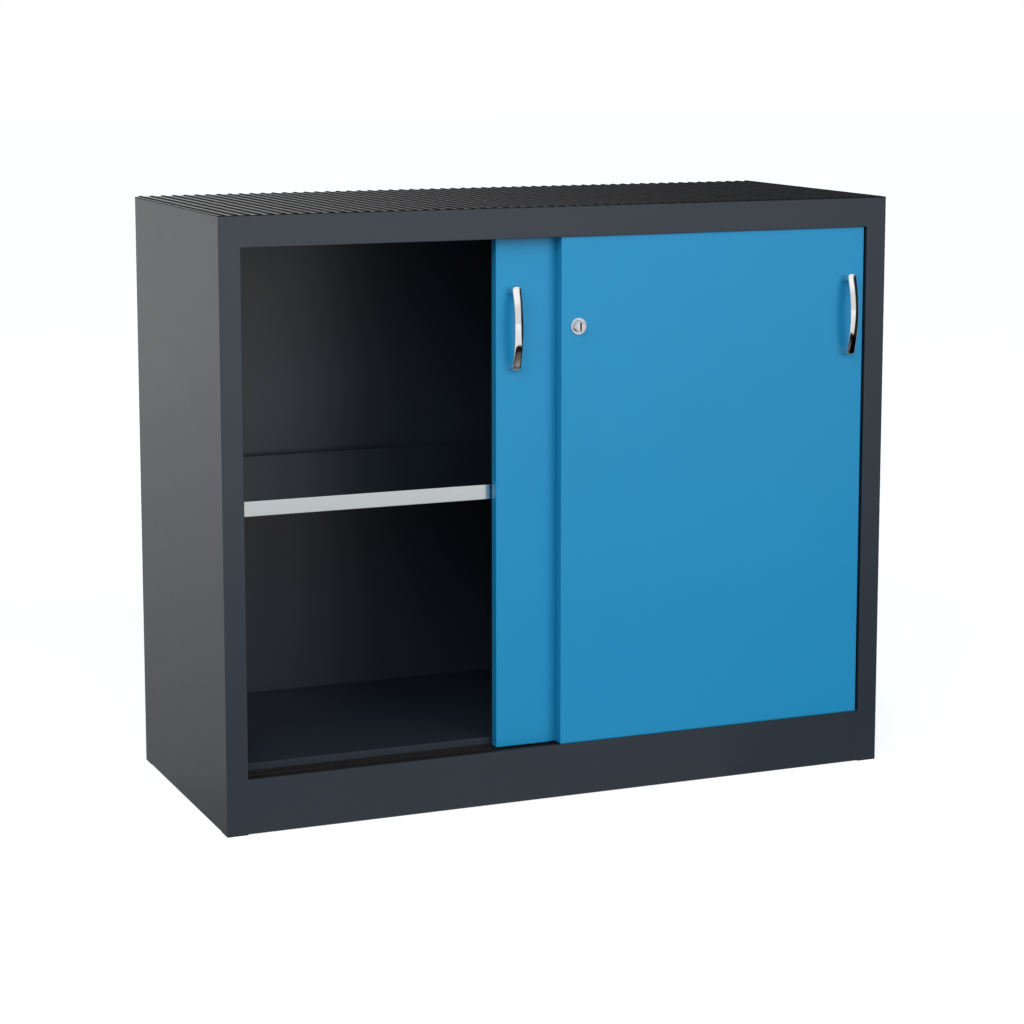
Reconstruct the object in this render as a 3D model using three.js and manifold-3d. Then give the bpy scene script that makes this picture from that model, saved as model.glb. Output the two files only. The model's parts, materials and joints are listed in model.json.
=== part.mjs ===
// Steel cabinet with two sliding doors, a galvanised shelf and a ribbed rubber mat on its top.
// Lengths are millimetres. Inside the cabinet group, x runs right from the left side, y runs back
// from the front face and z runs up from the floor. Inside a door group, x runs right from the
// door's left edge, y runs back from its front face and z runs up from its bottom edge.
import * as THREE from 'three';
import { mergeVertices } from 'three/addons/utils/BufferGeometryUtils.js';
import Module from 'manifold-3d';

const wasm = await Module();
wasm.setup();

// Body
const bodyWidth = 1200;
const bodyDepth = 500;
const bodyHeight = 1000;
const bodySheet = 1.2;
const seam = 0.2;
const overrun = 5;
const footHeight = 1.2;
const footWidth = 35;
const footPlugHeight = 20;
const postWidth = 36.5;
const postLip = 25;
const weldFlange = 20;
const rearFlange = 15;
const headerHeight = 50;
const headerLip = 3;
const plinthHeight = 91;
const plinthLip = 20;

// Doors and the lanes that they slide in
const doorSetback = 4;
const doorThickness = 18;
const doorSheet = 1;
const laneGap = 5;
const laneBackRoom = 3;
const doorOverlap = 24;
const doorEndGap = 3.5;
const doorDrop = 1.2;
const doorTopCover = 9;
const handleRoom = 69.5;
const fittingInset = 31;
const fittingDrop = 199.2;
const stiffenerWidth = 40;
const stiffenerLip = 12;

// Lower track and rollers
const bedDepth = 7.6;
const trackBase = 2;
const ridgeHeight = 2.2;
const ridgeWidth = 3;
const upstandHeight = 5.3;
const upstandWall = 1.5;
const runningGap = 0.25;
const rollerGrooveRadius = 8;
const rollerRimRadius = 9.2;
const rollerWidth = 7;
const rollerGrooveWidth = 4;
const rollerInset = 70;
const rollerSides = 24;
const axleRadius = 2.5;
const axleClearance = 0.2;
const rollerSideGap = 0.6;
const forkSheet = 1.5;
const forkWidth = 12;
const forkBridge = 3;
const forkTopGap = 1;
const cheekDrop = 4;
const slotClearance = 1.5;

// Upper guide, its glides and its stops
const guideWall = 2;
const glideWidth = 9.4;
const glideClearance = 0.3;
const glideLength = 30;
const glideRise = 28;
const glideBase = 12;
const guideClearance = 3;
const stopLength = 12;
const stopHeight = 18;
const stopGap = 0.5;
const bufferWidth = 10;
const bufferHeight = 20;
const bufferGap = 0.3;
const bufferLevel = 160;

// Floor of the cabinet and shelf
const floorSetback = 2;
const floorRise = 11.8;
const shelfTop = 538;
const shelfSheet = 1.2;
const shelfEdge = 25;
const shelfLip = 12;
const shelfEndGap = 0.6;
const shelfBackGap = 17;
const stripWidth = 25;
const stripDepth = 8;
const stripSheet = 1.2;
const stripInset = 12;
const stripLift = 15;
const stripSlotPitch = 50;
const stripSlotWidth = 12;
const stripSlotHeight = 5;
const clipSheet = 1.5;
const clipWidth = 18;
const clipTongue = 16;
const clipDrop = 14;
const hookWidth = 10;
const hookHeight = 3.4;
const hookReach = 1;

// Mat
const matBase = 1.2;
const ribHeight = 1.5;
const ribWidth = 8;
const ribPitch = 20;
const ribFacets = 5;

// Handles: flat bows on two legs
const handleLength = 141;
const handleHoleSpacing = 128;
const handleWidth = 15;
const handleReach = 28;
const handleEndReach = 17;
const handleThickness = 5;
const handleEdge = 1.6;
const handleCorner = 6;
const bowSteps = 10;
const edgeSteps = 2;
const screwRadius = 2;
const screwHeadRadius = 4;
const screwHeadHeight = 2.4;
const screwDepth = 9;
const screwClearance = 0.3;
const screwSides = 12;

// Push lock on the front door
const lockProud = 10;
const lockPressedProud = 1.5;
const lockReach = 4.5;
const rosetteRadius = 14.2;
const rosetteHeight = 1.5;
const rosetteBevel = 0.5;
const cylinderRadius = 9.5;
const cylinderLength = 14;
const cylinderBevel = 0.6;
const plugRadius = 8;
const plugDepth = 9;
const keySlotHeight = 14;
const keySlotWidth = 2;
const keySlotDepth = 6;
const boltRadius = 4;
const boltHoleRoom = 1;
const pressedGap = 0.5;
const lockFit = 0.2;
const housingWall = 2.2;
const housingRearWall = 1.5;
const nutRadius = 15;
const nutHeight = 3.5;
const lockSides = 32;
const strikeThickness = 3;
const strikeWidth = 12;
const strikeHeight = 60;

// Places that follow from the sizes above
const handleOverhang = handleReach + seam - doorSetback;
const openingWidth = bodyWidth - 2 * postWidth;
const openingBottom = footHeight + plinthHeight;
const bodyTop = footHeight + bodyHeight;
const openingTop = bodyTop - headerHeight;
const fittingHeight = bodyTop - fittingDrop;
const underTop = bodyTop - bodySheet;
const innerSide = bodySheet + seam;
const doorWidth = (openingWidth + doorOverlap - 2 * doorEndGap) / 2;
const doorBottom = openingBottom - doorDrop;
const doorHeight = openingTop + doorTopCover - doorBottom;
const frontDoorLeft = bodyWidth - postWidth - doorEndGap - doorWidth;
const rearDoorClosed = postWidth + doorEndGap;
const rearDoorLeft = frontDoorLeft - handleRoom - handleWidth / 2 - fittingInset;
const doorTravel = rearDoorLeft - rearDoorClosed;
const rearDoorFront = doorSetback + doorThickness + laneGap;
const postDepth = rearDoorFront + doorThickness + laneBackRoom;
const floorFront = postDepth + floorSetback;
const floorTop = openingBottom + floorRise;
const backInner = bodyDepth - 2 * bodySheet - seam;
const lanes = [doorSetback, rearDoorFront].map((front) => front + doorThickness / 2);
const bedTop = openingBottom - bedDepth + bodySheet;
const ridgeTop = bedTop + seam + trackBase + ridgeHeight;
const axleHeight = ridgeTop + runningGap + rollerGrooveRadius - doorBottom;
const railLeft = postWidth + seam;
const railRight = bodyWidth - railLeft;
const channelHalf = glideWidth / 2 + glideClearance;
const guideFront = lanes[0] - channelHalf - guideWall;
const housingRadius = cylinderRadius + lockFit + housingWall;
const lockStroke = lockProud - lockPressedProud;

const painted = { roughness: 0.5, metalness: 0.1 };
const materials = {
  body: new THREE.MeshStandardMaterial({ color: '#383d42', ...painted }),
  door: new THREE.MeshStandardMaterial({ color: '#2c90c6', ...painted }),
  galvanised: new THREE.MeshStandardMaterial({ color: '#bfc6c8', roughness: 0.35, metalness: 0.8 }),
  zinc: new THREE.MeshStandardMaterial({ color: '#9a9ea1', roughness: 0.4, metalness: 0.8 }),
  rubber: new THREE.MeshStandardMaterial({ color: '#1b1c1e', roughness: 0.85, metalness: 0 }),
  plastic: new THREE.MeshStandardMaterial({ color: '#161616', roughness: 0.5, metalness: 0 }),
  nylon: new THREE.MeshStandardMaterial({ color: '#d9d9d2', roughness: 0.5, metalness: 0 }),
  chrome: new THREE.MeshStandardMaterial({ color: '#d6d8da', roughness: 0.08, metalness: 1 }),
  nickel: new THREE.MeshStandardMaterial({ color: '#bcbcc2', roughness: 0.3, metalness: 0.9 }),
};

// One closed body with shared vertices, no empty triangles and its faces pointing out.
function closed(geometry) {
  const bare = geometry.index ? geometry.clone() : geometry;
  for (const name of Object.keys(bare.attributes)) {
    if (name !== 'position') bare.deleteAttribute(name);
  }
  const merged = mergeVertices(bare);
  const corners = merged.attributes.position;
  const kept = [];
  let volume = 0;
  const [a, b, c] = [new THREE.Vector3(), new THREE.Vector3(), new THREE.Vector3()];
  for (let i = 0; i < merged.index.count; i += 3) {
    const [p, q, r] = [0, 1, 2].map((k) => merged.index.getX(i + k));
    if (p === q || q === r || r === p) continue;
    kept.push([p, q, r]);
    a.fromBufferAttribute(corners, p);
    b.fromBufferAttribute(corners, q);
    c.fromBufferAttribute(corners, r);
    volume += a.dot(b.cross(c));
  }
  merged.setIndex(kept.flatMap(([p, q, r]) => (volume > 0 ? [p, q, r] : [p, r, q])));
  return merged;
}

function toSolid(geometry) {
  const shape = closed(geometry);
  const vertProperties = Float32Array.from(shape.attributes.position.array);
  const triVerts = Uint32Array.from(shape.index.array);
  return new wasm.Manifold(new wasm.Mesh({ numProp: 3, vertProperties, triVerts }));
}

function fromSolid(solid) {
  const mesh = solid.getMesh();
  const geometry = new THREE.BufferGeometry();
  geometry.setAttribute('position', new THREE.BufferAttribute(Float32Array.from(mesh.vertProperties), 3));
  geometry.setIndex(Array.from(mesh.triVerts));
  return geometry;
}

function cut(geometry, tools) {
  return fromSolid(tools.reduce((solid, tool) => solid.subtract(toSolid(tool)), toSolid(geometry)));
}

function join(geometry, others) {
  return fromSolid(others.reduce((solid, other) => solid.add(toSolid(other)), toSolid(geometry)));
}

// A box from its lowest to its highest corner.
function box(x0, x1, y0, y1, z0, z1) {
  const geometry = new THREE.BoxGeometry(x1 - x0, y1 - y0, z1 - z0);
  return geometry.translate((x0 + x1) / 2, (y0 + y1) / 2, (z0 + z1) / 2);
}

function outline(points) {
  return new THREE.Shape(points.map(([x, y]) => new THREE.Vector2(x, y)));
}

// Turns a profile in the plane of x and y, drawn along z, into one in y and z, drawn along x.
const xFromDepth = new THREE.Matrix4().makeBasis(
  new THREE.Vector3(0, 1, 0),
  new THREE.Vector3(0, 0, 1),
  new THREE.Vector3(1, 0, 0),
);

// A profile of [y, z] points, drawn along x.
function alongX(points, x0, x1) {
  const geometry = new THREE.ExtrudeGeometry(outline(points), { depth: x1 - x0, bevelEnabled: false });
  return geometry.applyMatrix4(xFromDepth).translate(x0, 0, 0);
}

// A profile of [x, z] points, drawn along y.
function alongY(points, y0, y1) {
  const geometry = new THREE.ExtrudeGeometry(outline(points), { depth: y1 - y0, bevelEnabled: false });
  return geometry.rotateX(Math.PI / 2).translate(0, y1, 0);
}

// A profile of [x, y] points, drawn along z.
function alongZ(points, z0, z1) {
  const geometry = new THREE.ExtrudeGeometry(outline(points), { depth: z1 - z0, bevelEnabled: false });
  return geometry.translate(0, 0, z0);
}

// A closed profile of [radius, y] points, turned about the y axis.
function turned(points, sides) {
  const profile = points.map(([radius, y]) => new THREE.Vector2(radius, y));
  const loop = profile[0].x === 0 ? profile : [...profile, profile[0].clone()];
  return new THREE.LatheGeometry(loop, sides);
}

function add(group, name, material, geometry, x = 0, y = 0, z = 0) {
  const mesh = new THREE.Mesh(closed(geometry), material);
  mesh.name = name;
  mesh.position.set(x, y, z);
  group.add(mesh);
  return mesh;
}

const cabinet = new THREE.Group();
cabinet.position.set(-bodyWidth / 2, handleOverhang - (bodyDepth + handleOverhang) / 2, 0);

// The same piece on the cabinet's right side.
function mirrored(geometry) {
  return closed(geometry).applyMatrix4(new THREE.Matrix4().makeScale(-1, 1, 1)).translate(bodyWidth, 0, 0);
}

function addPair(leftName, rightName, material, geometry) {
  add(cabinet, leftName, material, geometry);
  add(cabinet, rightName, material, mirrored(geometry));
}

// Side panels, folded in at the back
const wallTop = underTop - seam;
const sideProfile = [
  [0, innerSide],
  [bodySheet, innerSide],
  [bodySheet, bodyDepth - bodySheet],
  [rearFlange, bodyDepth - bodySheet],
  [rearFlange, bodyDepth],
  [0, bodyDepth],
];
addPair('left_side_panel', 'right_side_panel', materials.body, alongZ(sideProfile, footHeight, wallTop));

// Front posts: folded sections with a flange inside the side panel
const postProfile = [
  [0, 0],
  [postWidth, 0],
  [postWidth, postDepth],
  [postWidth - postLip, postDepth],
  [postWidth - postLip, postDepth - bodySheet],
  [postWidth - bodySheet, postDepth - bodySheet],
  [postWidth - bodySheet, bodySheet],
  [innerSide + bodySheet, bodySheet],
  [innerSide + bodySheet, weldFlange],
  [innerSide, weldFlange],
  [innerSide, bodySheet],
  [0, bodySheet],
];
addPair('left_front_post', 'right_front_post', materials.body, alongZ(postProfile, footHeight, wallTop));

// Header between the posts, with a lip that hides the doors' top edges
const headerProfile = [
  [0, openingTop],
  [headerLip, openingTop],
  [headerLip, openingTop + bodySheet],
  [bodySheet, openingTop + bodySheet],
  [bodySheet, wallTop - bodySheet],
  [guideFront - seam, wallTop - bodySheet],
  [guideFront - seam, wallTop],
  [0, wallTop],
];
add(cabinet, 'header_rail', materials.body, alongX(headerProfile, railLeft, railRight));

// Plinth between the posts, with the bed that carries the lower track
const plinthProfile = [
  [0, footHeight],
  [plinthLip, footHeight],
  [plinthLip, footHeight + bodySheet],
  [bodySheet, footHeight + bodySheet],
  [bodySheet, bedTop - bodySheet],
  [floorFront - seam, bedTop - bodySheet],
  [floorFront - seam, bedTop],
  [bodySheet, bedTop],
  [bodySheet, openingBottom],
  [0, openingBottom],
];
add(cabinet, 'plinth_rail', materials.body, alongX(plinthProfile, railLeft, railRight));

// Top and back
add(cabinet, 'top_panel', materials.body, box(0, bodyWidth, 0, bodyDepth, underTop, bodyTop));
const backSheet = box(
  innerSide,
  bodyWidth - innerSide,
  backInner,
  backInner + bodySheet,
  footHeight,
  wallTop,
);
add(cabinet, 'back_panel', materials.body, backSheet);

// Cabinet floor, folded down in front to meet the track bed
const floorProfile = [
  [floorFront, bedTop - bodySheet],
  [floorFront + bodySheet, bedTop - bodySheet],
  [floorFront + bodySheet, floorTop - bodySheet],
  [backInner - seam, floorTop - bodySheet],
  [backInner - seam, floorTop],
  [floorFront, floorTop],
];
add(cabinet, 'bottom_panel', materials.body, alongX(floorProfile, innerSide, bodyWidth - innerSide));

// Ribbed mat: ribs with a round top, from front to back
function matProfile() {
  const base = bodyTop + seam;
  const ribs = Math.round(bodyWidth / ribPitch);
  const pitch = bodyWidth / ribs;
  const crest = Math.sin((Math.PI * Math.floor(ribFacets / 2)) / ribFacets);
  const points = [[bodyWidth, base + matBase], [bodyWidth, base], [0, base], [0, base + matBase]];
  for (let rib = 0; rib < ribs; rib += 1) {
    for (let i = 0; i <= ribFacets; i += 1) {
      const angle = (Math.PI * i) / ribFacets;
      const x = (rib + 1 / 2) * pitch - (ribWidth / 2) * Math.cos(angle);
      points.push([x, base + matBase + (ribHeight * Math.sin(angle)) / crest]);
    }
  }
  return points;
}
add(cabinet, 'ribbed_top_mat', materials.rubber, alongY(matProfile(), 0, bodyDepth));

// Feet: corner pads with a plug, inside the posts in front and inside the side panels behind
const plugTop = footHeight + footPlugHeight;
const frontFoot = join(box(0, footWidth, 0, footWidth, 0, footHeight - seam), [
  box(innerSide + bodySheet + seam, footWidth, innerSide, footWidth, 0, plugTop),
]);
const rearFoot = join(box(0, footWidth, bodyDepth - footWidth, bodyDepth, 0, footHeight - seam), [
  box(innerSide, footWidth, bodyDepth - footWidth, backInner - seam, 0, plugTop),
]);
addPair('front_left_foot', 'front_right_foot', materials.plastic, frontFoot);
addPair('rear_left_foot', 'rear_right_foot', materials.plastic, rearFoot);

// Slotted strips on the side panels, and the clips that hook into them
const stripFace = innerSide + stripDepth;
const shelfUnder = shelfTop - shelfEdge;
const tongueTop = shelfUnder - seam;
const hookLevel = tongueTop - clipDrop / 2;
const stripBottom = floorTop + stripLift;

function stripSlots(middle) {
  const slots = [];
  const firstStep = -Math.floor((hookLevel - stripBottom - stripSlotHeight) / stripSlotPitch);
  const lastStep = Math.floor((openingTop - stripSlotHeight - hookLevel) / stripSlotPitch);
  for (let step = firstStep; step <= lastStep; step += 1) {
    const level = hookLevel + step * stripSlotPitch;
    slots.push(box(
      stripFace - 2 * stripSheet,
      stripFace + overrun,
      middle - stripSlotWidth / 2,
      middle + stripSlotWidth / 2,
      level - stripSlotHeight / 2,
      level + stripSlotHeight / 2,
    ));
  }
  return slots;
}

function strip(front) {
  const profile = [
    [innerSide, front],
    [stripFace, front],
    [stripFace, front + stripWidth],
    [innerSide, front + stripWidth],
    [innerSide, front + stripWidth - stripSheet],
    [stripFace - stripSheet, front + stripWidth - stripSheet],
    [stripFace - stripSheet, front + stripSheet],
    [innerSide, front + stripSheet],
  ];
  return cut(alongZ(profile, stripBottom, openingTop), stripSlots(front + stripWidth / 2));
}

function clip(front) {
  const middle = front + stripWidth / 2;
  const near = stripFace + seam;
  const profile = [
    [near, tongueTop - clipDrop],
    [near + clipSheet, tongueTop - clipDrop],
    [near + clipSheet, tongueTop - clipSheet],
    [near + clipTongue, tongueTop - clipSheet],
    [near + clipTongue, tongueTop],
    [near, tongueTop],
  ];
  const hook = box(
    stripFace - stripSheet - hookReach,
    near + clipSheet / 2,
    middle - hookWidth / 2,
    middle + hookWidth / 2,
    hookLevel - hookHeight / 2,
    hookLevel + hookHeight / 2,
  );
  return join(alongY(profile, middle - clipWidth / 2, middle + clipWidth / 2), [hook]);
}

const stripFronts = { front: postDepth + stripInset, rear: backInner - stripInset - stripWidth };
for (const [row, front] of Object.entries(stripFronts)) {
  addPair(`${row}_left_shelf_strip`, `${row}_right_shelf_strip`, materials.body, strip(front));
  addPair(`${row}_left_shelf_clip`, `${row}_right_shelf_clip`, materials.zinc, clip(front));
}

// Shelf: a sheet folded down on all sides, with lips under its long edges
const shelfBack = backInner - shelfBackGap;
const shelfLeft = stripFace + shelfEndGap;
const shelfRight = bodyWidth - shelfLeft;
const shelfHollow = box(
  shelfLeft + shelfSheet,
  shelfRight - shelfSheet,
  floorFront + shelfSheet,
  shelfBack - shelfSheet,
  shelfUnder + shelfSheet,
  shelfTop - shelfSheet,
);
const shelfMouth = box(
  shelfLeft + shelfSheet,
  shelfRight - shelfSheet,
  floorFront + shelfLip,
  shelfBack - shelfLip,
  shelfUnder - overrun,
  shelfUnder + 2 * shelfSheet,
);
const shelfBlock = box(shelfLeft, shelfRight, floorFront, shelfBack, shelfUnder, shelfTop);
const shelf = cut(shelfBlock, [shelfHollow, shelfMouth]);
add(cabinet, 'shelf', materials.galvanised, shelf);

// Lower track: one ridge in each lane, and an upstand against the floor's folded edge
const trackTop = bedTop + seam + trackBase;
const trackBack = floorFront - seam;
const trackProfile = [
  [innerSide, bedTop + seam],
  [trackBack, bedTop + seam],
  [trackBack, trackTop + upstandHeight],
  [trackBack - upstandWall, trackTop + upstandHeight],
  [trackBack - upstandWall, trackTop],
  ...[...lanes].reverse().flatMap((lane) => [
    [lane + ridgeWidth / 2, trackTop],
    [lane + ridgeWidth / 2, ridgeTop],
    [lane - ridgeWidth / 2, ridgeTop],
    [lane - ridgeWidth / 2, trackTop],
  ]),
  [innerSide, trackTop],
];
add(cabinet, 'lower_door_track', materials.plastic, alongX(trackProfile, railLeft, railRight));

// Upper guide: one channel in each lane, open at the bottom
const guideRoof = wallTop - guideWall;
const guideBottom = doorBottom + doorHeight + guideClearance;
const guideProfile = [
  [guideFront, wallTop],
  ...lanes.flatMap((lane) => [
    [lane - channelHalf - guideWall, guideRoof],
    [lane - channelHalf - guideWall, guideBottom],
    [lane - channelHalf, guideBottom],
    [lane - channelHalf, guideRoof],
    [lane + channelHalf, guideRoof],
    [lane + channelHalf, guideBottom],
    [lane + channelHalf + guideWall, guideBottom],
    [lane + channelHalf + guideWall, guideRoof],
  ]),
  [lanes[1] + channelHalf + guideWall, wallTop],
];
add(cabinet, 'upper_door_guide', materials.plastic, alongX(guideProfile, railLeft, railRight));

// Stops in the channels hold each open door where its handle leaves room for a hand
function channelStop(name, lane, left) {
  const half = channelHalf - seam;
  const top = guideRoof - seam;
  const block = box(left, left + stopLength, lane - half, lane + half, top - stopHeight, top);
  add(cabinet, name, materials.rubber, block);
}
const stopReach = glideLength / 2 + stopGap;
const rearGlide = rearDoorLeft + doorWidth - rollerInset;
const frontGlide = frontDoorLeft - doorTravel + rollerInset;
channelStop('rear_lane_stop', lanes[1], rearGlide + stopReach);
channelStop('front_lane_stop', lanes[0], frontGlide - stopReach - stopLength);

// Buffers on the posts meet the closed doors' outer edges
const bufferThickness = doorEndGap - seam - bufferGap;
function buffer(name, lane, left, right) {
  const [front, back] = [lane - bufferWidth / 2, lane + bufferWidth / 2];
  const bottom = openingBottom + bufferLevel;
  const pad = box(left, right, front, back, bottom, bottom + bufferHeight);
  add(cabinet, name, materials.rubber, pad);
}
buffer('front_door_buffer', lanes[0], railRight - bufferThickness, railRight);
buffer('rear_door_buffer', lanes[1], railLeft, railLeft + bufferThickness);

// Handle: a flat bow with rounded edges on two legs, drilled for its screws
function handleGeometry() {
  const end = handleLength / 2 - handleEdge;
  const legInner = handleHoleSpacing - handleLength / 2 + handleEdge;
  const outerEnd = handleEndReach - handleEdge;
  const outerApex = handleReach - handleEdge;
  const innerApex = handleReach - handleThickness + handleEdge;
  const innerEnd = innerApex - (handleReach - handleEndReach) * (legInner / end) ** 2;
  const corner = handleCorner - handleEdge;
  const side = new THREE.Shape();
  side.moveTo(-handleEdge, -end);
  side.lineTo(corner - outerEnd, -end);
  side.quadraticCurveTo(-outerEnd, -end, -outerEnd, corner - end);
  side.quadraticCurveTo(outerEnd - 2 * outerApex, 0, -outerEnd, end - corner);
  side.quadraticCurveTo(-outerEnd, end, corner - outerEnd, end);
  side.lineTo(-handleEdge, end);
  side.lineTo(-handleEdge, legInner);
  side.lineTo(-innerEnd, legInner);
  side.quadraticCurveTo(innerEnd - 2 * innerApex, 0, -innerEnd, -legInner);
  side.lineTo(-handleEdge, -legInner);
  const bar = new THREE.ExtrudeGeometry(side, {
    depth: handleWidth - 2 * handleEdge,
    bevelSize: handleEdge,
    bevelThickness: handleEdge,
    bevelSegments: edgeSteps,
    curveSegments: bowSteps,
  });
  bar.applyMatrix4(xFromDepth).translate(handleEdge - handleWidth / 2, 0, 0);
  const bores = [-1, 1].map((way) => {
    const bore = new THREE.CylinderGeometry(
      screwRadius + screwClearance,
      screwRadius + screwClearance,
      screwDepth + screwClearance + overrun,
      screwSides,
    );
    return bore.translate(0, (overrun - screwDepth - screwClearance) / 2, (way * handleHoleSpacing) / 2);
  });
  return cut(bar, bores);
}

// Screw from inside the door, its head against the skin and its tip in the handle's leg
const screwHead = doorSheet + seam;
const screwProfile = [
  [0, -screwDepth],
  [screwRadius, -screwDepth],
  [screwRadius, screwHead],
  [screwHeadRadius, screwHead],
  [screwHeadRadius, screwHead + screwHeadHeight],
  [0, screwHead + screwHeadHeight],
];

// Roller with a groove that runs on the track's ridge
const rollerProfile = [
  [axleRadius + axleClearance, -rollerWidth / 2],
  [rollerRimRadius, -rollerWidth / 2],
  [rollerRimRadius, -rollerGrooveWidth / 2],
  [rollerGrooveRadius, -rollerGrooveWidth / 2],
  [rollerGrooveRadius, rollerGrooveWidth / 2],
  [rollerRimRadius, rollerGrooveWidth / 2],
  [rollerRimRadius, rollerWidth / 2],
  [axleRadius + axleClearance, rollerWidth / 2],
];

// Fork inside the door, one piece with the axle that the roller turns on
function rollerBracket() {
  const cheekInner = rollerWidth / 2 + rollerSideGap;
  const cheekOuter = cheekInner + forkSheet;
  const bridgeUnder = rollerRimRadius + forkTopGap;
  const reach = doorThickness / 2 - doorSheet - seam;
  const half = forkWidth / 2;
  const bridge = box(-half, half, -reach, reach, bridgeUnder, bridgeUnder + forkBridge);
  const front = box(-half, half, -cheekOuter, -cheekInner, -cheekDrop, bridgeUnder + forkBridge);
  const rear = box(-half, half, cheekInner, cheekOuter, -cheekDrop, bridgeUnder + forkBridge);
  const axle = new THREE.CylinderGeometry(axleRadius, axleRadius, 2 * cheekOuter, rollerSides);
  return join(bridge, [front, rear, axle]);
}

// Glide: a foot inside the door and a stem that stands up into the guide's channel
function glide() {
  const reach = doorThickness / 2 - doorSheet - seam;
  const under = -doorSheet - seam;
  const profile = [
    [-reach, under - glideBase],
    [reach, under - glideBase],
    [reach, under],
    [glideWidth / 2, under],
    [glideWidth / 2, glideRise],
    [-glideWidth / 2, glideRise],
    [-glideWidth / 2, under],
    [-reach, under],
  ];
  return alongX(profile, -glideLength / 2, glideLength / 2);
}

// Hat section between a door's skin and its inner pan
function stiffener() {
  const half = stiffenerWidth / 2;
  const front = doorSheet + seam;
  const back = doorThickness - doorSheet - seam;
  const profile = [
    [-half, front],
    [half, front],
    [half, back - doorSheet],
    [half + stiffenerLip, back - doorSheet],
    [half + stiffenerLip, back],
    [half - doorSheet, back],
    [half - doorSheet, front + doorSheet],
    [doorSheet - half, front + doorSheet],
    [doorSheet - half, back],
    [-half - stiffenerLip, back],
    [-half - stiffenerLip, back - doorSheet],
    [-half, back - doorSheet],
  ];
  return alongZ(profile, doorSheet + seam, doorHeight - doorSheet - seam);
}

// A door, hung in its own group: its skin is a tray, closed at the back by the inner pan
function slidingDoor(name, left, front, handleX, lockX) {
  const door = new THREE.Group();
  door.position.set(left, front, doorBottom);
  cabinet.add(door);
  const middle = doorThickness / 2;
  const fittingZ = fittingHeight - doorBottom;
  const ends = { left: rollerInset, right: doorWidth - rollerInset };

  const hollow = box(
    doorSheet,
    doorWidth - doorSheet,
    doorSheet,
    doorThickness + overrun,
    doorSheet,
    doorHeight - doorSheet,
  );
  const rollerRoom = rollerRimRadius + slotClearance;
  const rollerSlot = rollerWidth / 2 + slotClearance;
  const glideRoom = glideLength / 2 + glideClearance;
  const glideSlot = glideWidth / 2 + glideClearance;
  const skinHoles = [hollow];
  for (const x of Object.values(ends)) {
    skinHoles.push(box(
      x - rollerRoom,
      x + rollerRoom,
      middle - rollerSlot,
      middle + rollerSlot,
      -overrun,
      overrun,
    ));
    skinHoles.push(box(
      x - glideRoom,
      x + glideRoom,
      middle - glideSlot,
      middle + glideSlot,
      doorHeight - overrun,
      doorHeight + overrun,
    ));
  }
  for (const way of [-1, 1]) {
    const radius = screwRadius + screwClearance;
    const hole = new THREE.CylinderGeometry(radius, radius, overrun, screwSides);
    skinHoles.push(hole.translate(handleX, 0, fittingZ + (way * handleHoleSpacing) / 2));
  }
  const panHoles = [];
  if (lockX !== null) {
    const barrelRadius = housingRadius + lockFit;
    const boltRoom = boltRadius + boltHoleRoom;
    const barrelHole = new THREE.CylinderGeometry(barrelRadius, barrelRadius, overrun, lockSides);
    const boltHole = new THREE.CylinderGeometry(boltRoom, boltRoom, overrun, lockSides);
    skinHoles.push(barrelHole.translate(lockX, 0, fittingZ));
    panHoles.push(boltHole.translate(lockX, doorThickness, fittingZ));
  }
  const tray = cut(box(0, doorWidth, 0, doorThickness, 0, doorHeight), skinHoles);
  add(door, `${name}_skin`, materials.door, tray);

  const rim = doorSheet + seam;
  const pan = box(rim, doorWidth - rim, doorThickness - doorSheet, doorThickness, rim, doorHeight - rim);
  add(door, `${name}_inner_pan`, materials.door, cut(pan, panHoles));
  add(door, `${name}_stiffener`, materials.zinc, stiffener(), doorWidth / 2);
  add(door, `${name}_handle`, materials.chrome, handleGeometry(), handleX, -seam, fittingZ);
  for (const [level, way] of [['lower', -1], ['upper', 1]]) {
    const z = fittingZ + (way * handleHoleSpacing) / 2;
    const screw = turned(screwProfile, screwSides);
    add(door, `${name}_${level}_handle_screw`, materials.zinc, screw, handleX, 0, z);
  }
  for (const [side, x] of Object.entries(ends)) {
    const roller = turned(rollerProfile, rollerSides);
    add(door, `${name}_${side}_roller_bracket`, materials.zinc, rollerBracket(), x, middle, axleHeight);
    add(door, `${name}_${side}_roller`, materials.nylon, roller, x, middle, axleHeight);
    add(door, `${name}_${side}_glide`, materials.plastic, glide(), x, middle, doorHeight);
  }
  return door;
}

const farInset = doorWidth - fittingInset;
const frontDoor = slidingDoor('front_door', frontDoorLeft, doorSetback, farInset, fittingInset);
const rearDoor = slidingDoor('rear_door', rearDoorLeft, rearDoorFront, fittingInset, null);

// Push lock: pressing the cylinder sends its bolt behind the rear door's strike
const lock = new THREE.Group();
lock.position.set(fittingInset, 0, fittingHeight - doorBottom);
frontDoor.add(lock);

const cylinderFront = -lockProud;
const cylinderBack = cylinderFront + cylinderLength;
const rearWallInner = cylinderBack + lockStroke + pressedGap;
const housingBack = rearWallInner + housingRearWall;
const boreRadius = cylinderRadius + lockFit;
const boltHole = boltRadius + lockFit;
const housingProfile = [
  [boreRadius, -rosetteHeight],
  [rosetteRadius - rosetteBevel, -rosetteHeight],
  [rosetteRadius, rosetteBevel - rosetteHeight],
  [rosetteRadius, -seam],
  [housingRadius, -seam],
  [housingRadius, housingBack],
  [boltHole, housingBack],
  [boltHole, rearWallInner],
  [boreRadius, rearWallInner],
];
add(lock, 'lock_housing', materials.nickel, turned(housingProfile, lockSides));

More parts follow.
